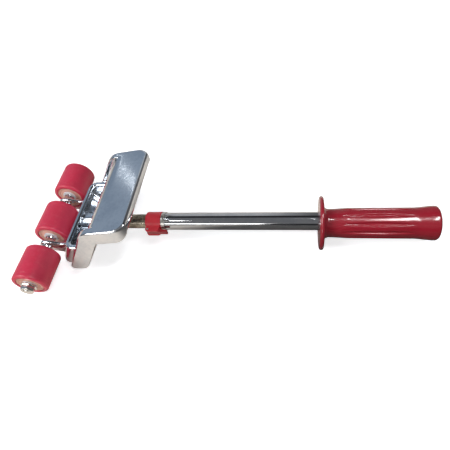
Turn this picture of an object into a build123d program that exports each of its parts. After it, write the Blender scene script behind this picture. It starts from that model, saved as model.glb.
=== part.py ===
from build123d import *
import math
import os

os.makedirs("parts", exist_ok=True)

# ------------------------------------------------------------ driving sizes, millimetres
# Tubes
outer_tube_diameter = 19.05
outer_tube_wall = 0.9
inner_tube_diameter = 15.9
inner_tube_wall = 1.2
liner_clearance = 0.06
liner_length = 27.0
liner_flange_thickness = 1.4
liner_flange_diameter = 18.6
tube_height_over_axle = 3.4
push_in_room = 3.6
fixed_fit_clearance = 0.04
part_gap = 0.1

# Rollers and axle
roller_diameter = 38.0
roller_length = 40.5
roller_gap = 20.6
tyre_edge_radius = 2.6
core_diameter = 28.4
core_recess = 0.8
axle_diameter = 8.0
bush_wall = 1.6
bush_flange_height = 1.4
bush_flange_width = 2.2
bush_length = 12.0
bush_proud = 0.35
bush_running_clearance = 0.05
side_play = 0.2
ear_thickness = 4.4
ear_tip_radius = 8.0
spacer_wall = 1.7
washer_thickness = 1.2
washer_diameter = 17.0
nut_across_flats = 12.7
nut_height = 5.4
nut_chamfer = 0.7
axle_end_proud = 0.8
axle_end_chamfer = 0.6

# Head casting, side profile measured from the axle
head_width = 110.0
plate_thickness = 10.0
cheek_depth = 18.4
cheek_rear_round = 15.5
rim_upright_reach = 106.0
plate_rise_angle = 7.7
plate_rear_reach = 123.4
plate_height_at_rear = 62.9
plate_corner_radius = 17.0
plate_front_bend_radius = 22.0
plate_under_bend_radius = 9.0
leg_front_foot_reach = 38.8
leg_front_angle = 56.5
leg_thickness = 18.2
cheek_width = 8.0
leg_set_back = 7.0
foot_drop = 10.8
foot_front_round = 4.0
foot_rear_round = 10.5
web_foot_drop = 12.6
web_foot_round = 3.0
web_top_height = 19.5
web_top_reach = 36.8
web_lean_angle = 30.0
web_thickness = 6.0
web_width = 94.0
web_corner_radius = 10.0
web_rim_share = 0.3
pocket_floor_height = 6.0
boss_wall = 3.2
boss_rear_reach = 80.0
boss_front_reach = 38.0
bore_front_reach = 37.0
casting_edge_radius = 2.2
corner_seam_band = 1.0
ear_neck_height = 4.0
ear_neck_drop = 12.5
ear_neck_share = 0.5
ear_belly_share = 0.45
socket_pin_diameter = 5.0
socket_pin_reach = 46.5

# Clamp
collar_front_reach = 115.3
collar_length = 17.7
collar_wall = 1.1
collar_lip_length = 2.5
collar_lip_clearance = 0.35
collar_edge_radius = 0.5
collar_front_round = 1.5
lug_cheek = 1.7
lug_round = 2.6
lug_end_inset = 1.2
lug_plan_share = 0.9
lever_hub_radius = 2.3
lever_nose = 0.3
lever_nose_clearance = 0.3
lever_slot_clearance = 0.35
lever_height = 5.2
lever_length = 22.0
lever_thickness = 2.6
lever_tip_lift = 2.2
lever_tip_round = 1.2
lever_pin_diameter = 2.4
lever_pin_clearance = 0.04
ferrule_length = 4.6
ferrule_wall = 0.8
ferrule_edge = 0.3
screw_diameter = 2.4
screw_head_height = 0.8
screw_head_diameter = 4.2
screw_inset = 5.0

# Grip
flange_front_reach = 300.8
flange_diameter = 55.4
flange_thickness = 4.4
flange_edge_share = 0.35
neck_diameter = 29.2
neck_root_round = 3.0
neck_length = 22.0
barrel_diameter = 30.8
bell_diameter = 34.0
bell_length = 7.0
bell_flare_length = 16.0
bell_flare_round = 30.0
grip_length = 110.8
grip_end_round = 2.6
grip_end_wall = 6.0
grip_offset_side = 1.7
grip_offset_down = 1.2
flute_count = 11
flute_length = 64.0
flute_radius = 3.0
flute_depth = 1.1
flute_start = 22.0

# Ends of the tubes
stop_ring_length = 10.0
stop_cap_thickness = 2.0
plug_length = 6.5
plug_cap_thickness = 2.4

# ------------------------------------------------------------ sizes worked out from those
roller_radius = roller_diameter / 2
roller_pitch = roller_length + roller_gap
outer_tube_radius = outer_tube_diameter / 2
outer_tube_bore = outer_tube_radius - outer_tube_wall
inner_tube_radius = inner_tube_diameter / 2
inner_tube_bore = inner_tube_radius - inner_tube_wall
half_head = head_width / 2
half_web = web_width / 2
axle_radius = axle_diameter / 2
spacer_radius = axle_radius + spacer_wall
core_radius = core_diameter / 2

# The shared frame has its origin under the middle of the overall box.
grip_rear_reach = flange_front_reach + grip_length
lowest_under_axle = max(
    roller_radius,
    flange_diameter / 2 + grip_offset_down - tube_height_over_axle,
)
axle_x = -(grip_rear_reach - roller_radius) / 2
axle_z = lowest_under_axle
tube_z = axle_z + tube_height_over_axle


def at_x(reach):
    """Frame X of a distance measured rearward from the axle."""
    return axle_x + reach


def at_z(height):
    """Frame Z of a height measured from the axle."""
    return axle_z + height


def side_plane(y=0.0):
    """Side-view plane whose local x is frame X and local y is frame Z."""
    return Plane(origin=(0, y, 0), x_dir=(1, 0, 0), z_dir=(0, -1, 0))


def tube_plane(reach):
    """Plane across the tube, looking rearward, centred on the tube."""
    return Plane(origin=(at_x(reach), 0, tube_z), x_dir=(0, 1, 0), z_dir=(1, 0, 0))


def axle_plane(y):
    """Plane across the axle, centred on it."""
    return Plane(origin=(axle_x, y, axle_z), x_dir=(1, 0, 0), z_dir=(0, -1, 0))


def hand_in(part, name):
    """Label a finished part and write its STEP file."""
    part.label = name
    export_step(part, f"parts/{name}.step")


# ------------------------------------------------------------ head casting
plate_slope = math.tan(math.radians(plate_rise_angle))
leg_slope = math.tan(math.radians(leg_front_angle))
leg_run = leg_thickness / math.sin(math.radians(leg_front_angle))
web_run = math.tan(math.radians(web_lean_angle))


def plate_top(reach):
    """Height of the plate's upper face at a distance from the axle."""
    return plate_height_at_rear - (plate_rear_reach - reach) * plate_slope


def crossing(base_reach, offset):
    """Point where a leg face meets the plate face lowered by an offset."""
    base = plate_height_at_rear - offset - plate_rear_reach * plate_slope
    reach = (base + leg_slope * base_reach) / (leg_slope - plate_slope)
    return (at_x(reach), at_z(base + plate_slope * reach))


leg_rear_reach = leg_front_foot_reach + leg_run
foot_rear_reach = leg_rear_reach - foot_drop / leg_slope


def leg_front(reach, height):
    """Point on a leg front face that passes through a reach at axle height."""
    return (at_x(reach + height / leg_slope), at_z(height))


def bend_end(corner, radius):
    """Point on the plate's upper face just past the end of a front bend."""
    turn = math.radians(leg_front_angle - plate_rise_angle)
    run = radius * math.tan(turn / 2) + part_gap
    rise = math.radians(plate_rise_angle)
    return (corner[0] + run * math.cos(rise), corner[1] + run * math.sin(rise))


plate_rear = plate_rear_reach + plate_thickness * plate_slope
plate_under = plate_height_at_rear - plate_thickness
cheek_rear = plate_rear_reach + cheek_depth * plate_slope
cheek_under = plate_height_at_rear - cheek_depth
middle_front_reach = leg_front_foot_reach + leg_set_back
middle_corner = crossing(middle_front_reach, 0.0)
middle_bend_end = bend_end(middle_corner, plate_front_bend_radius)
clear_height = at_z(plate_height_at_rear + plate_thickness)
slab_points = [
    leg_front(leg_front_foot_reach, -foot_drop),
    crossing(leg_front_foot_reach, 0.0),
    (at_x(plate_rear_reach), at_z(plate_height_at_rear)),
    (at_x(cheek_rear), at_z(cheek_under)),
    crossing(leg_rear_reach, cheek_depth),
    (at_x(foot_rear_reach), at_z(-foot_drop)),
]
slab_rounds = [
    (slab_points[0], foot_front_round),
    (slab_points[1], plate_front_bend_radius),
    (slab_points[3], cheek_rear_round),
    (slab_points[4], plate_under_bend_radius),
    (slab_points[5], foot_rear_round),
]
recess_points = [
    crossing(leg_rear_reach, plate_thickness),
    (at_x(plate_rear), at_z(plate_under)),
    (at_x(plate_rear + plate_thickness), at_z(plate_under)),
    (at_x(plate_rear + plate_thickness), at_z(cheek_under - cheek_depth)),
    leg_front(leg_rear_reach, cheek_under - cheek_depth),
]
set_back_points = [
    leg_front(middle_front_reach, pocket_floor_height),
    middle_corner,
    middle_bend_end,
    (middle_bend_end[0], clear_height),
    (at_x(0), clear_height),
    (at_x(0), at_z(pocket_floor_height)),
]


def round_corner(sketch, point, radius):
    """Fillet the sketch corner nearest to a point."""
    corner = sketch.vertices().sort_by_distance(Vector(point[0], point[1]))[0]
    fillet(corner, radius)


def is_outer_rim(edge):
    """Whether an edge bounds the casting's flat ends, plate top or rear corners."""
    middle = edge.center()
    on_end = abs(abs(middle.Y) - half_head) < part_gap
    upright = on_end and edge.geom_type == GeomType.LINE and middle.X > at_x(rim_upright_reach)
    at_corner = middle.X > at_x(plate_rear_reach - plate_corner_radius) and abs(middle.Y) > part_gap
    seam_height = at_z(plate_height_at_rear) - plate_thickness / 2
    corner_seam = at_corner and abs(middle.Z - seam_height) < corner_seam_band
    top_rear = abs(middle.Z - at_z(plate_height_at_rear)) < part_gap
    return top_rear or ((on_end or at_corner) and not upright and not corner_seam)


with BuildPart() as slab:
    with BuildSketch(side_plane()) as slab_sketch:
        with BuildLine():
            Polyline(*slab_points, close=True)
        make_face()
        for point, radius in slab_rounds:
            round_corner(slab_sketch, point, radius)
    extrude(amount=half_head, both=True)
    with BuildSketch(Plane.XY.offset(at_z(-foot_drop))) as plan_sketch:
        with Locations((at_x(0), 0)):
            Rectangle(cheek_rear, head_width, align=(Align.MIN, Align.CENTER))
        fillet(plan_sketch.vertices().sort_by(Axis.X)[-2:], plate_corner_radius)
    extrude(amount=plate_height_at_rear + foot_drop + part_gap, mode=Mode.INTERSECT)
    fillet(slab.edges().filter_by(is_outer_rim), casting_edge_radius)
    with BuildSketch(side_plane()) as recess_sketch:
        with BuildLine():
            Polyline(*recess_points, close=True)
        make_face()
        round_corner(recess_sketch, recess_points[0], plate_under_bend_radius)
    extrude(amount=half_head - cheek_width, both=True, mode=Mode.SUBTRACT)
    with BuildSketch(side_plane()) as set_back_sketch:
        with BuildLine():
            Polyline(*set_back_points, close=True)
        make_face()
        round_corner(set_back_sketch, middle_corner, plate_front_bend_radius)
    extrude(amount=half_head - cheek_width, both=True, mode=Mode.SUBTRACT)

boss_radius = inner_tube_radius + boss_wall
web_depth = web_top_height + web_foot_drop
web_slant = web_depth / math.cos(math.radians(web_lean_angle))
web_direction = (-web_run, 0, -1)
web_rear_reach = web_top_reach + web_thickness + leg_run
pocket_slant = (web_top_height - pocket_floor_height) / math.cos(math.radians(web_lean_angle))
web_plane = Plane.XY.offset(at_z(web_top_height))


def front_rounded(front_reach, rear_reach, width, radius):
    """Plan outline with its two front corners rounded."""
    with BuildSketch(web_plane) as outline:
        with Locations((at_x((front_reach + rear_reach) / 2), 0)):
            Rectangle(rear_reach - front_reach, width)
        fillet(outline.vertices().sort_by(Axis.X)[:2], radius)
    return outline.sketch


with BuildPart() as web_block:
    add(front_rounded(web_top_reach, web_rear_reach, web_width, web_corner_radius))
    extrude(amount=web_slant, dir=web_direction)
    foot_front = web_block.edges().group_by(Axis.Z)[0].sort_by(Axis.X)[0:3]
    fillet(foot_front, web_foot_round)
    add(
        front_rounded(
            web_top_reach + web_thickness,
            web_rear_reach + leg_run,
            web_width - 2 * web_thickness,
            web_corner_radius - web_thickness,
        )
    )
    extrude(amount=pocket_slant, dir=web_direction, mode=Mode.SUBTRACT)
    top_rims = web_block.edges().group_by(Axis.Z)[-1].filter_by(
        lambda e: e.center().X < at_x(web_rear_reach) - part_gap
    )
    fillet(top_rims, web_thickness * web_rim_share)

ear_offset = roller_pitch / 2
web_mid_top = (at_x(web_top_reach + web_thickness / 2), at_z(web_top_height - web_thickness / 2))
web_mid_foot = (
    at_x(web_top_reach + web_thickness / 2 - (web_depth - web_foot_round / 2) * web_run),
    at_z(web_foot_round / 2 - web_foot_drop),
)

with BuildPart() as ear_pair:
    for ear_y in (-ear_offset, ear_offset):
        with BuildSketch(side_plane(ear_y)):
            with BuildLine():
                top_edge = Spline(
                    (at_x(0), at_z(ear_tip_radius)),
                    (at_x(web_top_reach * ear_neck_share), at_z(ear_neck_height)),
                    web_mid_top,
                    tangents=((1, 0), (math.sin(math.radians(web_lean_angle)), 1)),
                )
                Line(web_mid_top, web_mid_foot)
                Polyline(
                    web_mid_foot,
                    (at_x(web_top_reach * ear_belly_share), at_z(-ear_neck_drop)),
                    (at_x(0), at_z(-ear_tip_radius)),
                )
                ThreePointArc(
                    (at_x(0), at_z(-ear_tip_radius)),
                    (at_x(-ear_tip_radius), at_z(0)),
                    (at_x(0), at_z(ear_tip_radius)),
                )
            make_face()
        extrude(amount=ear_thickness / 2, both=True)

with BuildPart() as head_casting:
    add(slab.part)
    add(web_block.part)
    add(ear_pair.part)
    with BuildSketch(tube_plane(boss_front_reach)):
        Circle(boss_radius)
    extrude(amount=boss_rear_reach - boss_front_reach)
    with BuildSketch(tube_plane(bore_front_reach)):
        Circle(inner_tube_radius + fixed_fit_clearance)
    extrude(amount=boss_rear_reach - bore_front_reach, mode=Mode.SUBTRACT)
    with BuildSketch(axle_plane(0)):
        Circle(axle_radius + fixed_fit_clearance)
    extrude(amount=half_web, both=True, mode=Mode.SUBTRACT)
    with BuildSketch(axle_plane(0)):
        with Locations((socket_pin_reach, tube_height_over_axle)):
            Circle(socket_pin_diameter / 2 + fixed_fit_clearance)
    extrude(amount=boss_radius + part_gap, both=True, mode=Mode.SUBTRACT)
hand_in(head_casting.part, "head_casting")

# ------------------------------------------------------------ tubes
collar_bore = outer_tube_radius + fixed_fit_clearance
collar_radius = outer_tube_radius + collar_wall
liner_front_reach = collar_front_reach + collar_lip_length + part_gap
outer_tube_front_reach = liner_front_reach + liner_flange_thickness + part_gap
liner_rear_reach = outer_tube_front_reach + liner_length
outer_tube_rear_reach = grip_rear_reach - grip_end_wall - plug_cap_thickness - 2 * part_gap
plug_front_reach = outer_tube_rear_reach - plug_length
stop_rear_reach = plug_front_reach - push_in_room
inner_tube_rear_reach = stop_rear_reach - stop_cap_thickness - part_gap
liner_bore = inner_tube_radius + liner_clearance
liner_outer_radius = outer_tube_bore - liner_clearance

with BuildPart() as inner_tube:
    with BuildSketch(tube_plane(bore_front_reach + part_gap)):
        Circle(inner_tube_radius)
        Circle(inner_tube_bore, mode=Mode.SUBTRACT)
    extrude(amount=inner_tube_rear_reach - bore_front_reach - part_gap)
    with BuildSketch(axle_plane(0)):
        with Locations((socket_pin_reach, tube_height_over_axle)):
            Circle(socket_pin_diameter / 2 + fixed_fit_clearance)
    extrude(amount=inner_tube_diameter, both=True, mode=Mode.SUBTRACT)
hand_in(inner_tube.part, "inner_tube")

with BuildPart() as socket_pin:
    with BuildSketch(axle_plane(0)):
        with Locations((socket_pin_reach, tube_height_over_axle)):
            Circle(socket_pin_diameter / 2)
    extrude(amount=boss_radius, both=True)
    chamfer(socket_pin.edges().filter_by(GeomType.CIRCLE), axle_end_chamfer)
hand_in(socket_pin.part, "socket_pin")

with BuildPart() as tube_stop:
    with BuildSketch(tube_plane(stop_rear_reach - stop_cap_thickness)):
        Circle(liner_outer_radius)
    extrude(amount=stop_cap_thickness)
    with BuildSketch(tube_plane(stop_rear_reach - stop_cap_thickness - stop_ring_length)):
        Circle(liner_outer_radius)
        Circle(inner_tube_radius + fixed_fit_clearance, mode=Mode.SUBTRACT)
    extrude(amount=stop_ring_length)
hand_in(tube_stop.part, "tube_stop")

with BuildPart() as guide_liner:
    with BuildSketch(tube_plane(liner_front_reach)):
        Circle(liner_flange_diameter / 2)
    extrude(amount=liner_flange_thickness)
    with BuildSketch(tube_plane(liner_front_reach + liner_flange_thickness)):
        Circle(liner_outer_radius)
    extrude(amount=liner_rear_reach - liner_front_reach - liner_flange_thickness)
    with BuildSketch(tube_plane(liner_front_reach)):
        Circle(liner_bore)
    extrude(amount=liner_rear_reach - liner_front_reach, mode=Mode.SUBTRACT)
hand_in(guide_liner.part, "guide_liner")

screw_reach = collar_front_reach + collar_length - screw_inset
screw_planes = [
    Plane(origin=(at_x(screw_reach), 0, tube_z), x_dir=(1, 0, 0), z_dir=(0, 1, 0)),
    Plane(origin=(at_x(screw_reach), 0, tube_z), x_dir=(1, 0, 0), z_dir=(0, 0, -1)),
]

with BuildPart() as outer_tube:
    with BuildSketch(tube_plane(outer_tube_front_reach)):
        Circle(outer_tube_radius)
        Circle(outer_tube_bore, mode=Mode.SUBTRACT)
    extrude(amount=outer_tube_rear_reach - outer_tube_front_reach)
    for plane in screw_planes:
        with BuildSketch(plane):
            Circle(screw_diameter / 2 + fixed_fit_clearance)
        extrude(amount=outer_tube_diameter, mode=Mode.SUBTRACT)
hand_in(outer_tube.part, "outer_tube")

with BuildPart() as tube_plug:
    with BuildSketch(tube_plane(outer_tube_rear_reach + part_gap)):
        Circle(outer_tube_radius)
    extrude(amount=plug_cap_thickness)
    with BuildSketch(tube_plane(plug_front_reach)):
        Circle(outer_tube_bore - fixed_fit_clearance)
    extrude(amount=plug_length + part_gap)
    chamfer(tube_plug.edges().sort_by(Axis.X)[0], axle_end_chamfer)
hand_in(tube_plug.part, "tube_plug")

with BuildPart() as ferrule:
    with BuildSketch(tube_plane(collar_front_reach + collar_length + part_gap)):
        Circle(collar_bore + ferrule_wall)
        Circle(collar_bore, mode=Mode.SUBTRACT)
    extrude(amount=ferrule_length - part_gap)
    chamfer(ferrule.edges().filter_by(GeomType.CIRCLE).group_by(SortBy.RADIUS)[-1], ferrule_edge)
hand_in(ferrule.part, "ferrule")

# ------------------------------------------------------------ clamp collar, lever and pin
hub_offset = collar_radius + lever_nose_clearance + lever_nose + lever_hub_radius
hub_reach = collar_front_reach + lug_end_inset + lug_round
lug_length = collar_length - 2 * lug_end_inset
hub_point = (at_x(hub_reach), -hub_offset)
slot_height = lever_height + 2 * lever_slot_clearance
lug_height = slot_height + 2 * lug_cheek
tube_level = Plane.XY.offset(tube_z)

with BuildPart() as clamp_collar:
    with BuildSketch(tube_plane(collar_front_reach)):
        Circle(collar_radius)
    extrude(amount=collar_length)
    rear_rim = clamp_collar.edges().filter_by(GeomType.CIRCLE).sort_by(Axis.X)[-1]
    fillet(rear_rim, collar_edge_radius)
    front_rim = clamp_collar.edges().filter_by(GeomType.CIRCLE).sort_by(Axis.X)[0]
    fillet(front_rim, collar_front_round)
    with BuildSketch(tube_level) as lug_sketch:
        with Locations((at_x(collar_front_reach + lug_end_inset), -hub_offset - lug_round)):
            Rectangle(lug_length, hub_offset + lug_round, align=(Align.MIN, Align.MIN))
        fillet(lug_sketch.vertices().sort_by(Axis.Y)[:2], lug_round * lug_plan_share)
    extrude(amount=lug_height / 2, both=True)
    with BuildSketch(tube_level):
        with Locations((at_x(collar_front_reach), -collar_radius)):
            Rectangle(collar_length, hub_offset, align=(Align.MIN, Align.MAX))
    extrude(amount=slot_height / 2, both=True, mode=Mode.SUBTRACT)
    with BuildSketch(tube_level):
        with Locations(hub_point):
            Circle(lever_pin_diameter / 2 + lever_pin_clearance)
    extrude(amount=lug_height, both=True, mode=Mode.SUBTRACT)
    with BuildSketch(tube_plane(collar_front_reach + collar_lip_length)):
        Circle(collar_bore)
    extrude(amount=collar_length, mode=Mode.SUBTRACT)
    with BuildSketch(tube_plane(collar_front_reach)):
        Circle(inner_tube_radius + collar_lip_clearance)
    extrude(amount=collar_length, mode=Mode.SUBTRACT)
    for plane in screw_planes:
        with BuildSketch(plane):
            Circle(screw_diameter / 2 + fixed_fit_clearance)
        extrude(amount=outer_tube_diameter, mode=Mode.SUBTRACT)
hand_in(clamp_collar.part, "clamp_collar")

lever_inner = -(collar_radius + lever_nose_clearance)
lever_outline = [
    (hub_point[0], lever_inner - lever_nose),
    (at_x(hub_reach + lever_length), lever_inner - lever_tip_lift),
    (at_x(hub_reach + lever_length), lever_inner - lever_tip_lift - lever_thickness),
    (hub_point[0], hub_point[1] - lever_hub_radius),
]

with BuildPart() as cam_lever:
    with BuildSketch(tube_level) as lever_sketch:
        with BuildLine():
            Polyline(*lever_outline, close=True)
        make_face()
        fillet(lever_sketch.vertices().sort_by(Axis.X)[-2:], lever_tip_round)
        with Locations(hub_point):
            Circle(lever_hub_radius)
        with Locations((hub_point[0], hub_point[1] + lever_nose)):
            Circle(lever_hub_radius)
        with Locations(hub_point):
            Circle(lever_pin_diameter / 2 + lever_pin_clearance, mode=Mode.SUBTRACT)
    extrude(amount=lever_height / 2, both=True)
hand_in(cam_lever.part, "cam_lever")

with BuildPart() as lever_pin:
    with BuildSketch(tube_level):
        with Locations(hub_point):
            Circle(lever_pin_diameter / 2)
    extrude(amount=lug_height / 2, both=True)
hand_in(lever_pin.part, "lever_pin")

with BuildPart() as collar_screws:
    for plane in screw_planes:
        with BuildSketch(plane.offset(outer_tube_bore + part_gap)):
            Circle(screw_diameter / 2)
        extrude(amount=collar_radius - outer_tube_bore)
        with BuildSketch(plane.offset(collar_radius + part_gap / 2)):
            Circle(screw_head_diameter / 2)
        extrude(amount=screw_head_height)
hand_in(collar_screws.part, "collar_screws")

# ------------------------------------------------------------ grip
grip_plane = Plane(
    origin=(at_x(flange_front_reach), -grip_offset_side, tube_z - grip_offset_down),
    x_dir=(1, 0, 0),
    z_dir=(0, -1, 0),
)
grip_axis = Axis(grip_plane.origin, (1, 0, 0))
neck_radius = neck_diameter / 2
barrel_radius = barrel_diameter / 2
bell_radius = bell_diameter / 2
bell_start = grip_length - bell_length
neck_end = flange_thickness + neck_length
flange_edge = flange_thickness * flange_edge_share
flute_axis_radius = barrel_radius + flute_radius - flute_depth

with BuildPart() as grip:
    with BuildSketch(grip_plane) as grip_sketch:
        with BuildLine():
            Polyline(
                (0, 0),
                (0, flange_diameter / 2),
                (flange_thickness, flange_diameter / 2),
                (flange_thickness, neck_radius),
                (neck_end - flange_thickness, neck_radius),
                (neck_end, barrel_radius),
                (bell_start - bell_flare_length, barrel_radius),
                (bell_start, bell_radius),
                (grip_length, bell_radius),
                (grip_length, 0),
                close=True,
            )
        make_face()
        rims = grip_sketch.vertices().filter_by_position(
            Axis.Y, flange_diameter / 2 - part_gap, flange_diameter / 2 + part_gap
        )
        fillet(rims, flange_edge)
        end_corner = grip_sketch.vertices().group_by(Axis.X)[-1].sort_by(Axis.Y)[-1]
        fillet(end_corner, grip_end_round)
        round_corner(grip_sketch, (flange_thickness, neck_radius), neck_root_round)
        round_corner(grip_sketch, (bell_start - bell_flare_length, barrel_radius), bell_flare_round)
        round_corner(grip_sketch, (bell_start, bell_radius), bell_flare_round)
    revolve(axis=grip_axis)
    for step in range(flute_count):
        turn = 2 * math.pi * step / flute_count
        flute_origin = grip_plane.origin + Vector(
            flute_start + flute_length / 2,
            flute_axis_radius * math.cos(turn),
            flute_axis_radius * math.sin(turn),
        )
        flute_plane = Plane(origin=flute_origin, x_dir=(1, 0, 0), z_dir=(0, -1, 0))
        with BuildSketch(flute_plane):
            with BuildLine():
                ThreePointArc((-flute_length / 2, 0), (0, flute_radius), (flute_length / 2, 0))
                Line((-flute_length / 2, 0), (flute_length / 2, 0))
            make_face()
        revolve(axis=Axis(flute_origin, (1, 0, 0)), mode=Mode.SUBTRACT)
    with BuildSketch(tube_plane(flange_front_reach)):
        Circle(outer_tube_radius + fixed_fit_clearance)
    extrude(amount=grip_length - grip_end_wall, mode=Mode.SUBTRACT)
hand_in(grip.part, "grip")

# ------------------------------------------------------------ axle, nuts, washers, spacers
outer_roller_face = roller_pitch + roller_length / 2
washer_inner_y = outer_roller_face + bush_proud + side_play
nut_inner_y = washer_inner_y + washer_thickness
axle_half_length = nut_inner_y + nut_height + axle_end_proud
nut_radius = nut_across_flats / 2
spacer_length = (roller_gap - ear_thickness) / 2 - bush_proud - side_play

with BuildPart() as axle_rod:
    with BuildSketch(axle_plane(0)):
        Circle(axle_radius)
    extrude(amount=axle_half_length, both=True)
    chamfer(axle_rod.edges().filter_by(GeomType.CIRCLE), axle_end_chamfer)
hand_in(axle_rod.part, "axle_rod")

with BuildPart() as nut_limit:
    with BuildSketch(axle_plane(0)):
        Circle(nut_radius / math.cos(math.pi / 6))
    extrude(amount=nut_inner_y + nut_height, both=True)
    chamfer(nut_limit.edges().filter_by(GeomType.CIRCLE), nut_chamfer)

with BuildPart() as axle_nuts:
    for side in (-1, 1):
        with BuildSketch(axle_plane(side * (nut_inner_y + nut_height / 2))):
            RegularPolygon(nut_radius, 6, major_radius=False)
        extrude(amount=nut_height / 2, both=True)
    add(nut_limit.part, mode=Mode.INTERSECT)
    with BuildSketch(axle_plane(0)):
        Circle(axle_radius + fixed_fit_clearance)
    extrude(amount=axle_half_length, both=True, mode=Mode.SUBTRACT)
hand_in(axle_nuts.part, "axle_nuts")

with BuildPart() as axle_washers:
    for side in (-1, 1):
        with BuildSketch(axle_plane(side * (washer_inner_y + washer_thickness / 2))):
            Circle(washer_diameter / 2)
            Circle(axle_radius + fixed_fit_clearance, mode=Mode.SUBTRACT)
        extrude(amount=washer_thickness / 2, both=True)
hand_in(axle_washers.part, "axle_washers")

with BuildPart() as ear_spacers:
    for ear_y in (-ear_offset, ear_offset):
        for side in (-1, 1):
            with BuildSketch(axle_plane(ear_y + side * (ear_thickness + spacer_length) / 2)):
                Circle(spacer_radius)
                Circle(axle_radius + fixed_fit_clearance, mode=Mode.SUBTRACT)
            extrude(amount=spacer_length / 2, both=True)
hand_in(ear_spacers.part, "ear_spacers")

# ------------------------------------------------------------ rollers
bush_bore = axle_radius + bush_running_clearance
bush_radius = bush_bore + bush_wall
bush_flange_radius = bush_radius + bush_flange_width
seat_radius = bush_radius + fixed_fit_clearance
core_length = roller_length - 2 * core_recess
flange_inner = roller_length / 2 + bush_proud - bush_flange_height
seat_depth = flange_inner - bush_length

for name, roller_y in (("near", -roller_pitch), ("middle", 0.0), ("far", roller_pitch)):
    with BuildPart() as tyre:
        with BuildSketch(axle_plane(roller_y)):
            Circle(roller_radius)
        extrude(amount=roller_length / 2, both=True)
        fillet(tyre.edges().filter_by(GeomType.CIRCLE), tyre_edge_radius)
        with BuildSketch(axle_plane(roller_y)):
            Circle(core_radius)
        extrude(amount=roller_length / 2, both=True, mode=Mode.SUBTRACT)
    hand_in(tyre.part, f"tyre_{name}")

    with BuildPart() as core:
        with BuildSketch(axle_plane(roller_y)):
            Circle(core_radius - fixed_fit_clearance)
            Circle(seat_radius, mode=Mode.SUBTRACT)
        extrude(amount=core_length / 2, both=True)
        for side in (-1, 1):
            with BuildSketch(axle_plane(roller_y + side * (flange_inner + core_length) / 2)):
                Circle(bush_flange_radius + fixed_fit_clearance)
            extrude(amount=(core_length - flange_inner) / 2, both=True, mode=Mode.SUBTRACT)
    hand_in(core.part, f"core_{name}")

    with BuildPart() as bushes:
        for side in (-1, 1):
            with BuildSketch(axle_plane(roller_y + side * (seat_depth + flange_inner) / 2)):
                Circle(bush_radius)
            extrude(amount=bush_length / 2, both=True)
            with BuildSketch(axle_plane(roller_y + side * (flange_inner + bush_flange_height / 2))):
                Circle(bush_flange_radius)
            extrude(amount=bush_flange_height / 2, both=True)
        with BuildSketch(axle_plane(roller_y)):
            Circle(bush_bore)
        extrude(amount=roller_length, both=True, mode=Mode.SUBTRACT)
    hand_in(bushes.part, f"bushes_{name}")
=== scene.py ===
"""Looks of the seam roller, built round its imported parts: cast head, rollers, tubes, clamp and grip."""

import sys
import logging
import math
from dataclasses import dataclass, field
from enum import Enum
from typing import Callable, Iterable, Sequence

import bmesh
import bpy
from mathutils import Matrix, Vector


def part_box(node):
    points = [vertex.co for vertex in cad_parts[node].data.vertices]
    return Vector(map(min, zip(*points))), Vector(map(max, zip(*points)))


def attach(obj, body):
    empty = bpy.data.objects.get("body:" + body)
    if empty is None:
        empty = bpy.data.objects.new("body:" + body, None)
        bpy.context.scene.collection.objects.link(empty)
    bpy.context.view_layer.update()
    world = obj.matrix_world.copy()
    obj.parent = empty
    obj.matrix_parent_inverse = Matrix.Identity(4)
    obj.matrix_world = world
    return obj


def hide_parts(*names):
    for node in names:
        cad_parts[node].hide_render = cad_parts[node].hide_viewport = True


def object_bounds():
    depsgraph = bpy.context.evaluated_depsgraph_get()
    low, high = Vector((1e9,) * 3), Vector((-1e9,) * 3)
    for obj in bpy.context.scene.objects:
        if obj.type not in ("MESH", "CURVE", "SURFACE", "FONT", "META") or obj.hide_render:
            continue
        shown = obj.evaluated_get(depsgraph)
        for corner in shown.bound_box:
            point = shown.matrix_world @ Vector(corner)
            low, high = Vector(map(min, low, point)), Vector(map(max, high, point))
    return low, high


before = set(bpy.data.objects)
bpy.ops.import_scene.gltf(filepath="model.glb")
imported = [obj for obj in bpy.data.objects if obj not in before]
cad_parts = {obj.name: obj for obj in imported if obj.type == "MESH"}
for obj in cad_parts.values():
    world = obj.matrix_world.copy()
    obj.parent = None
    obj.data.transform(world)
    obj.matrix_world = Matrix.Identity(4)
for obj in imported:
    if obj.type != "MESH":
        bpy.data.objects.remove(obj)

CAD_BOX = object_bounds()
MM = 0.001
log = logging.getLogger("seam_roller")

Colour = tuple[float, float, float]
Outline = list[tuple[float, float]]
Socket = bpy.types.NodeSocket


class Slot(Enum):
    """Material slots of the record that the pieces take their finish from."""

    CASTING = "cast_alloy"
    INNER_PLATING = "inner_tube_plating"
    OUTER_PLATING = "outer_tube_plating"
    ZINC = "zinc_steel"
    SPACER = "spacer_plating"
    TYRE = "red_tyre"
    CORE = "roller_core"
    BUSH = "bush_nylon"
    LINER = "liner_nylon"
    COLLAR = "collar_plastic"
    LEVER = "lever_plastic"
    PLUG = "plug_plastic"
    GRIP = "grip_vinyl"


class Along(Enum):
    """Axis that a turned piece is turned about."""

    TUBE = 0
    AXLE = 1


# ------------------------------------------------------------------ shader building


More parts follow.
